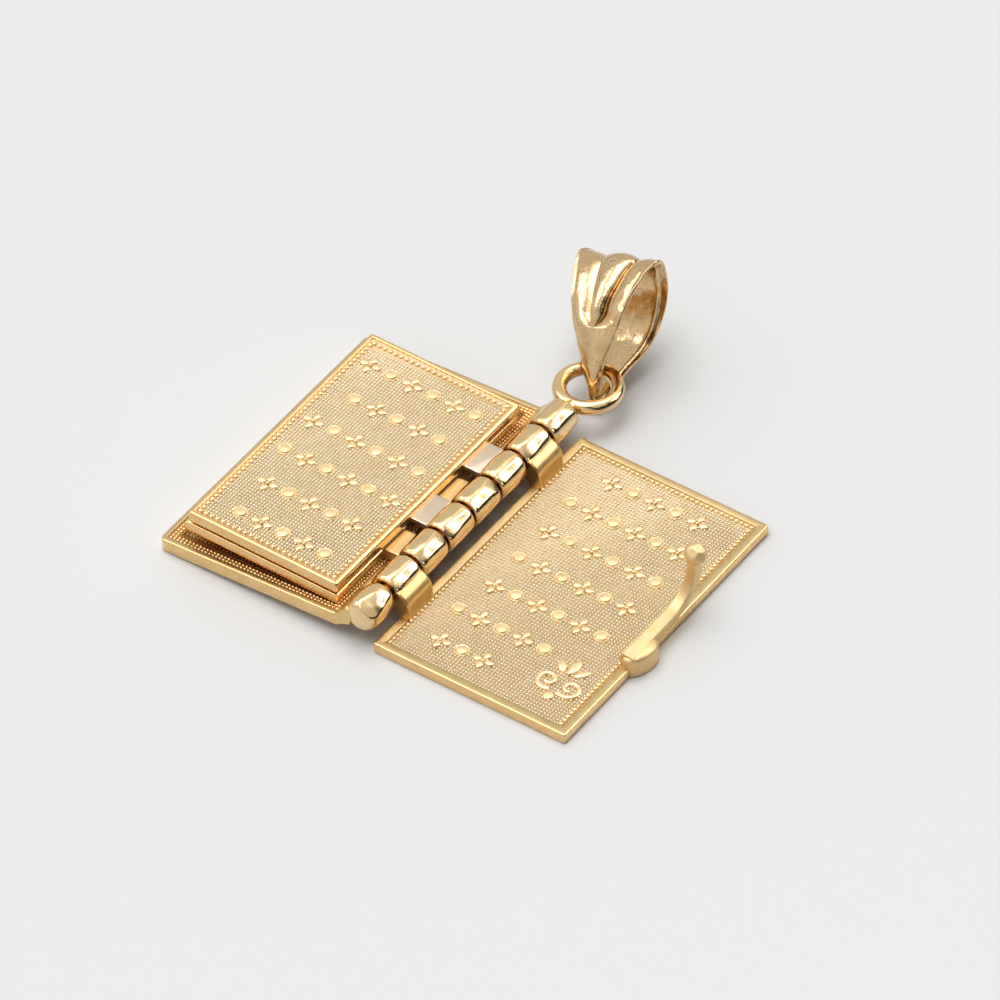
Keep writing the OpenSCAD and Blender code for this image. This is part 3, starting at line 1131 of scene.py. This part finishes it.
@dataclass
class PinAndRing(SubAssembly):
    """The hinge pin with the ring soldered to its far end."""

    pin: float = 0.35
    near: float = 0.785
    bevel: float = 0.05
    bared: float = 16.9
    ring_y: float = 19.05
    ring_mid: float = 1.39
    wire: float = 0.35

    def draw(self, draft: Draft) -> None:
        """Adds the pin and the ring.

        Args:
            draft: Piece that gets them.
        """
        lathe(draft, [(TIP, self.near), (self.pin - self.bevel, self.near),
                      (self.pin, self.near + self.bevel), (self.pin, self.bared),
                      (self.pin, self.ring_y - self.ring_mid)], 40)
        section = [(self.ring_mid + self.wire * math.cos(b), self.wire * math.sin(b))
                   for b in round_angles(28)]
        draft.rings([[(r * math.cos(a), self.ring_y + r * math.sin(a), z) for r, z in section]
                     for a in round_angles(120)], closed=True)

    def build(self) -> None:
        """Makes the pin and ring as one piece."""
        self.shape("pin_and_ring", self.draw, [BUFFED], (0.02, 0.8), True)


@dataclass
class Bail(SubAssembly):
    """The winged bail: a strap bent into a drop, with a cushion between two wings.

    Each row is one station round the strap, from its narrow end up the front, over the arch and
    down the back: depth and height of its outer face, half widths of its outer and inner faces,
    thickness, and how much of the shield it shows.
    """

    at: Point = (-5.96, 9.851, 0.66)
    turn: Point = (-37, -22, -1)
    stations: int = 300
    rows: Sequence[Sequence[float]] = (
        (0.75, 0.32, 0.33, 0.30, 0.42, 0), (0.28, 0.62, 0.33, 0.30, 0.42, 0),
        (0.06, 1.15, 0.33, 0.30, 0.42, 0), (-0.08, 1.70, 0.47, 0.44, 0.42, 0),
        (-0.16, 2.28, 0.66, 0.62, 0.42, 0.02), (-0.21, 2.92, 0.91, 0.86, 0.50, 0.1),
        (-0.22, 3.60, 1.16, 1.10, 0.50, 0.25), (-0.20, 4.24, 1.38, 1.30, 0.48, 0.45),
        (-0.10, 4.97, 1.60, 1.50, 0.46, 0.7), (0.04, 5.71, 1.82, 1.70, 0.44, 0.85),
        (0.29, 6.36, 2.02, 1.85, 0.42, 0.95), (0.69, 7.11, 2.24, 2.00, 0.42, 1),
        (1.17, 7.56, 2.38, 2.05, 0.45, 1), (1.75, 7.60, 2.25, 1.90, 0.50, 0.9),
        (2.35, 7.38, 2.02, 1.70, 0.55, 0.65), (2.95, 6.85, 1.80, 1.50, 0.60, 0.35),
        (3.38, 6.20, 1.65, 1.35, 0.64, 0.15), (3.62, 5.40, 1.45, 1.20, 0.64, 0.05),
        (3.72, 4.50, 1.18, 1.00, 0.62, 0), (3.62, 3.75, 0.98, 0.85, 0.60, 0),
        (3.34, 3.10, 0.80, 0.70, 0.58, 0), (2.86, 2.50, 0.66, 0.58, 0.56, 0),
        (2.26, 1.90, 0.54, 0.48, 0.54, 0), (1.81, 1.29, 0.45, 0.40, 0.52, 0),
        (1.38, 0.72, 0.38, 0.34, 0.50, 0))
    # Where the grooves begin up the strap, and over what height they and the cushion grow.
    grooves_at: float = 4.1
    grooves_grow: float = 0.65
    groove: float = 0.26
    cushion_rise: float = 0.09
    # Middle and half length, in shares of the strap, of the part of its back that is wider.
    wide_back: Flat = (0.785, 0.125)
    wider: float = 0.75
    # How far the tip of one wing is lifted.
    lifted: float = 0.2

    @property
    def place(self) -> Matrix:
        """Where the bail's millimetres go in the frame."""
        a, b, c = (math.radians(v) for v in self.turn)
        return (Matrix.Translation(Vector(self.at) * MM) @ Matrix.Rotation(c, 4, "Z")
                @ Matrix.Rotation(b, 4, "Y") @ Matrix.Rotation(a, 4, "X") @ Matrix.Scale(MM, 4))

    def station(self, share: float) -> list[float]:
        """One station on the smooth closed curve through the rows.

        Args:
            share: Share of the way round the strap.

        Returns:
            The six values of a row.
        """
        n = len(self.rows)
        i, t = int(share * n), share * n % 1
        a, b, c, d = (self.rows[(i + k) % n] for k in (-1, 0, 1, 2))
        return [(2 * q + (r - p) * t + (2 * p - 5 * q + 4 * r - s) * t * t
                 + (3 * q - p - 3 * r + s) * t ** 3) / 2 for p, q, r, s in zip(a, b, c, d)]

    @staticmethod
    def outer(shield: float, cushion: float, deep: float, rise: float, w: float) -> float:
        """How far the outer face stands off its drawn line.

        Args:
            shield: How far the section belongs to the shield, from 0 to 1.
            cushion: Share of the half width that the cushion takes.
            deep: Depth of the groove on each side of the cushion.
            rise: How far the cushion stands above the wings.
            w: Place across the strap, from -1 to 1.

        Returns:
            Distance in mm.
        """
        a = abs(w)
        round_off = -0.16 * (1 - shield) * a * a - 0.05 * a ** 4
        if a < cushion:
            return round_off - deep + (deep + rise) * math.sqrt(1 - (a / cushion) ** 2)
        v = (a - cushion) / (1 - cushion)
        rim = 0.09 * v ** 10 - 0.035 * math.exp(-((v - 0.88) / 0.06) ** 2)
        return round_off - deep * (1 - v) ** 3 + shield * (rim - 0.05 * v * v)

    @staticmethod
    def inner(thick: float, shield: float, w: float) -> float:
        """How far the inner face lies below the drawn line.

        Args:
            thick: Thickness of the strap.
            shield: How far the section belongs to the shield, from 0 to 1.
            w: Place across the strap, from -1 to 1.

        Returns:
            Distance in mm.
        """
        a = abs(w)
        return thick * (1 - 0.35 * shield * a ** 3) + 0.1 * shield - 0.05 * (1 - shield) * a ** 4

    @staticmethod
    def across(cushion: float) -> list[float]:
        """Where the points of a section stand, closer together at the cushion and the edges.

        Args:
            cushion: Share of the half width that the cushion takes.

        Returns:
            Places from -1 at one edge to 1 at the other.
        """
        half = [cushion * math.sin(math.pi / 2 * i / 12) for i in range(13)]
        wing = [cushion + (0.97 - cushion) * (i / 14) ** 1.3 for i in range(1, 14)]
        right = half + wing + [0.965, 0.978, 0.989, 0.996, 1.0]
        return [-w for w in reversed(right)] + right[1:]

    def section(self, share: float, row: Sequence[float], outward: Vector) -> list[Point]:
        """Points round the strap at one station.

        Args:
            share: Share of the way round the strap.
            row: The station's six values.
            outward: Way out of the strap there, in depth and height.

        Returns:
            The points of the outer face, then those of the inner one.
        """
        depth, up, out_half, in_half, thick, shield = row
        grown_up = clamp((up - self.grooves_at) / self.grooves_grow)
        cushion = max(0.03, 0.27 * math.sqrt(grown_up) + 0.05 * max(0.0, up - 5.2))
        deep = self.groove * math.sqrt(grown_up) * clamp((shield - 0.2) / 0.3)
        rise = self.cushion_rise * grown_up
        behind = max(0.0, 1 - ((share - self.wide_back[0]) / self.wide_back[1]) ** 2)
        soft = 0.07 + 0.11 * (1 - shield)
        ring = []
        for face, half in ((1, out_half), (-1, in_half)):
            for w in self.across(cushion):
                w *= face
                off = self.outer(shield, cushion, deep, rise, w) if face == 1 else \
                    -self.inner(thick, shield, w)
                over = max(0.0, (abs(w) - 1) * half + soft) / soft
                off -= face * soft * (1 - math.sqrt(max(0.0, 1 - over ** 2)))
                lift = self.lifted * max(0.0, -w) ** 3 * clamp((up - 6) / 1.5)
                wide = half + (self.wider * behind if w < 0 else 0.0)
                p = outward * off
                ring.append((w * wide, depth + p.x, up + p.y + lift))
        return ring

    def draw(self, draft: Draft) -> None:
        """Adds the strap.

        Args:
            draft: Piece that gets it.
        """
        n = self.stations
        rows = [self.station(i / n) for i in range(n)]
        rings = []
        for i, row in enumerate(rows):
            way = Vector(rows[(i + 1) % n][:2]) - Vector(rows[i - 1][:2])
            rings.append(self.section(i / n, row, Vector((-way.y, way.x)).normalized()))
        draft.rings(rings, closed=True)

    def build(self) -> None:
        """Makes the bail."""
        self.shape("bail_strap", self.draw, [ROSY], (0.02, 0.8), True)


# ---- the set

@dataclass
class Studio:
    """Floor, lights and camera of the photograph."""

    right: Vector = field(default_factory=lambda: Vector((0.8246, 0.5658, 0.0)))
    up: Vector = field(default_factory=lambda: Vector((-0.390, 0.568, 0.725)))
    back: Vector = field(default_factory=lambda: Vector((0.4102, -0.5978, 0.6887)))
    distance: float = 0.5152
    lens: float = 396.9
    aim: Flat = (1.825, 1.910)
    table: float = 3
    table_drop: float = 0.00001

    def camera(self) -> None:
        """Sets the camera at the photograph's angle above the floor, aimed beside the hinge."""
        data = bpy.data.cameras.new("camera")
        data.lens, data.sensor_width = self.lens, 36.0
        data.clip_start, data.clip_end = 0.01, 20.0
        obj = bpy.data.objects.new("camera", data)
        target = Vector((-6.275, 0, 0)) * MM + (self.right * self.aim[0]
                                                + self.up * self.aim[1]) * MM
        basis = Matrix((self.right, self.up, self.back)).transposed()
        obj.matrix_world = Matrix.Translation(target + self.back * self.distance) \
            @ basis.to_4x4()
        bpy.context.scene.collection.objects.link(obj)
        bpy.context.scene.camera = obj

    @staticmethod
    def soft_box(name: str, size: Flat, power: float, at: Vector, turn: Matrix) -> None:
        """Adds a soft box that only shows as a reflection.

        Args:
            name: Name of the light.
            size: Its width and height, in metres.
            power: Its power, in watts.
            at: Where it stands.
            turn: How it is turned.
        """
        data = bpy.data.lights.new(name, "AREA")
        data.shape = "RECTANGLE"
        data.size, data.size_y = size
        data.energy = power
        obj = bpy.data.objects.new(name, data)
        obj.matrix_world = Matrix.Translation(at) @ turn.to_4x4()
        obj.visible_diffuse = False
        bpy.context.scene.collection.objects.link(obj)

    def light(self, name: str, toward: Point, size: Flat, power: float,
              far: float = 0.5) -> None:
        """Adds a soft box that looks at the pendant.

        Args:
            name: Name of the light.
            toward: Direction in which it stands.
            size: Its width and height, in metres.
            power: Its power, in watts.
            far: Its distance, in metres.
        """
        way = Vector(toward).normalized()
        self.soft_box(name, size, power, way * far, way.to_track_quat("Z", "Y").to_matrix())

    def hollow_light(self, name: str, toward: Point, width: float, hole: float, shine: float,
                     far: float = 0.5) -> None:
        """Adds a soft box with a dark middle, made of four strips.

        Args:
            name: Name of the light.
            toward: Direction in which it stands.
            width: Its width, in metres.
            hole: Width of its dark middle.
            shine: Its brightness, where the white tent has 1.
            far: Its distance, in metres.
        """
        way = Vector(toward).normalized()
        turn = way.to_track_quat("Z", "Y").to_matrix()
        strip = (width - hole) / 2
        reach = (hole + strip) / 2
        for k, (dx, dy) in enumerate(((1, 0), (0, 1), (-1, 0), (0, -1))):
            size = (strip, hole + strip) if dx else (hole + strip, strip)
            beside = Vector((dx * reach - dy * strip / 2, dy * reach + dx * strip / 2, 0))
            self.soft_box(f"{name}_{k}", size, shine * math.pi * size[0] * size[1],
                          way * far + turn @ beside, turn)

    def floor(self) -> None:
        """Lays the pale table, a sheet with a soft sheen."""
        mesh = bpy.data.meshes.new("table")
        mesh.from_pydata([(x * self.table, y * self.table, -self.table_drop)
                          for x, y in ((-1, -1), (1, -1), (1, 1), (-1, 1))], [], [(0, 1, 2, 3)])
        mat = bpy.data.materials.new("pale_table_laminate")
        mat.use_nodes = True
        shader = mat.node_tree.nodes["Principled BSDF"]
        shader.inputs["Base Color"].default_value = linear("#dfdfde")
        shader.inputs["Roughness"].default_value = 0.3
        mesh.materials.append(mat)
        obj = bpy.data.objects.new("table", mesh)
        bpy.context.scene.collection.objects.link(obj)

    def sky(self) -> None:
        """Sets the white tent, brighter above, with a dark right side but for its near part."""
        world = bpy.data.worlds.new("tent")
        world.use_nodes = True
        tree = world.node_tree
        tree.nodes.clear()
        way = add_node(tree, "ShaderNodeSeparateXYZ", links={
            0: add_node(tree, "ShaderNodeTexCoord").outputs["Generated"]}).outputs
        # Each row: the axis, whether the change is smooth, its span and what the ends become.
        low, high, right, behind = (
            add_node(tree, "ShaderNodeMapRange", {"interpolation_type": change},
                     dict(enumerate(span, 1)), {0: way[axis]}).outputs[0]
            for axis, change, span in (
                ("Z", "LINEAR", (0.0, 0.22, 0.5, 0.78)),
                ("Z", "SMOOTHSTEP", (0.76, 0.96, 0.0, 3.4)),
                ("X", "SMOOTHSTEP", (-0.06, 0.38, 0.0, 0.95)),
                ("Y", "SMOOTHSTEP", (-0.85, -0.5, 0.0, 1.0))))
        rise = add_node(tree, "ShaderNodeMath", {"operation": "ADD"},
                        links={0: low, 1: high}).outputs[0]
        dark = add_node(tree, "ShaderNodeMath", {"operation": "MULTIPLY"},
                        links={0: right, 1: behind}).outputs[0]
        share = add_node(tree, "ShaderNodeMath", {"operation": "SUBTRACT"}, {0: 1.0},
                         {1: dark}).outputs[0]
        glow = add_node(tree, "ShaderNodeMath", {"operation": "MULTIPLY"},
                        links={0: rise, 1: share}).outputs[0]
        back = add_node(tree, "ShaderNodeBackground", values={0: linear("#ffffff")},
                        links={1: glow})
        add_node(tree, "ShaderNodeOutputWorld", links={0: back.outputs[0]})
        bpy.context.scene.world = world

    def build(self) -> None:
        """Sets the whole stage."""
        self.camera()
        self.floor()
        self.sky()
        self.hollow_light("back_right_box", (0.53, 0.6, 0.6), 0.24, 0.09, 4.5)
        self.light("back_right_glow", (0.35, 0.6, 0.72), (0.5, 0.5), 0.5, 0.55)
        self.light("right_card", (0.5, -0.1, 0.86), (0.3, 0.35), 0.22)
        self.light("left_box", (-0.73, -0.29, 0.615), (0.26, 0.2), 0.5)
        self.light("front_left_card", (-0.77, -0.61, 0.14), (0.6, 0.24), 0.06)
        bpy.context.scene.view_settings.view_transform = "Standard"


# The back cover's outer edge rests on the table; the webs are outlines across the hinge.
BACK_TILT = math.degrees(math.asin(AXIS_Z / math.hypot(11.35, 0.95)) - math.atan2(0.95, 11.35))
BACK_WEB = ((-1.45, -0.35), (-1.45, -0.95), (-0.5, -0.62), (-0.3, 0), (-0.75, 0.3))
FRONT_WEB = ((0.42, 0.3), (0.42, -0.45), (0.75, -1.1), (1.0, -1.35), (1.51, -1.35),
             (1.51, -1.1), (1.42, -0.99), (1.39, -0.8), (1.385, -0.55), (1.365, -0.38),
             (1.32, -0.22), (1.25, -0.07), (1.15, 0.07), (1.03, 0.19), (0.89, 0.29), (0.74, 0.37))
LOWER_WEB = ((-1.84, -0.31), (-1.84, 0.23), (-1.6, 0.24), (-1.57, 0.2), (-1.54, 0.25),
             (-1.3, 0.27), (-1.27, 0.23), (-1.24, 0.28), (-0.79, 0.31),
             (-0.42, 0.3), (-0.42, -0.05), (-0.7, -0.31))
UPPER_WEB = ((-1.8, 0.38), (-1.8, 0.6), (-1.2, 0.6), (-0.61, 0.6), (-0.5, 0.5),
             (-0.42, 0.28), (-0.75, 0.26), (-1.3, 0.38))


def leaves() -> list[Leaf]:
    """Gives the two covers and two pages their own sizes.

    Returns:
        The leaves, from the back cover on.
    """
    page: dict[str, Any] = {
        "side": Side.LEFT, "along": (0.55, 15.45), "corner": 0.14, "turn": 1.0, "border": 0.24,
        "pitch": (0.157, 0.194), "point": (0.058, 0.1)}
    return [
        Leaf("back_cover", "back_cover", "back_cover", side=Side.LEFT, reach=(1.05, 11.35),
             along=(0, 17), corner=0.35, thick=0.7, top=-0.25, turn=-BACK_TILT, barrels=(0, 7),
             web=BACK_WEB, ridges=(0.8, 0.92), bead_rows=((0.42, 0.6),) * 4,
             bead=(0.1, 0.2, 0.09), pitch=(0.2, 0.22), point=(0.075, 0.085),
             # The back cover's field and points take the painted shade under the pages.
             margins=(0.98,) * 4, border_gold=BRUSHED, ground_gold=UNDER_PAGE_SHADE, bead_gold=CAST,
             point_gold=UNDER_PAGE_SHADE),
        FrontCover("front_cover", "front_cover", "front_cover", side=Side.RIGHT,
                   reach=(0.87, 11.6), along=(0, 17), corner=0.12, thick=0.55, top=-1.05,
                   turn=0.0, barrels=(1, 6), web=FRONT_WEB, border=0.44, hinge_drop=-0.06,
                   hinge_slope=0.4, skew=-0.08, bead_rows=((), (0.6,), (0.6,), (0.58,)),
                   bead=(0.135, 0.278, 0.15), rib=0.05, margins=(0.56, 0.76, 0.79, 0.77),
                   ornament=Ornament((5, 6, 6, 6, 6, 5, 3),
                                     (6.35, 6.1, 6.35, 6.2, 6.3, 5.2, 4.5), 15.2, 2.2),
                   border_gold=BRUSHED, web_gold=AMBER),
        Leaf("lower_page", "lower_page", "lower_page", reach=(1.54, 10.19), thick=0.52,
             top=0.21, barrels=(2, 4), web=LOWER_WEB, cut_short=0.34, **page),
        Leaf("upper_page", "upper_page", "upper_page", reach=(1.54, 9.99), thick=0.57,
             top=0.93, barrels=(3, 5), web=UPPER_WEB, hinge_drop=0.13, hinge_slope=0.15,
             skew=0.1, bead_rows=((0.42,), (0.42,), (0.52,), (0.42,)),
             margins=(0.6, 0.6, 0.9, 0.6),
             ornament=Ornament((6, 5, 6, 6, 5, 5), (5.77, 5.6, 5.77, 5.77, 5.7, 5.6), 13.6, 2.33),
             web_gold=BLASTED, **page),
    ]


def main() -> None:
    """Builds the set and every sub-assembly."""
    logging.basicConfig(level=logging.INFO, format="%(name)s %(message)s")
    noise.seed_set(NOISE_SEED)
    Studio().build()
    for leaf in leaves():
        leaf.build()
    PinAndRing("back_cover", "hinge_pin", "hinge_pin").build()
    Bail("back_cover", "bail", "bail").build()


if __name__ == "__main__":
    main()
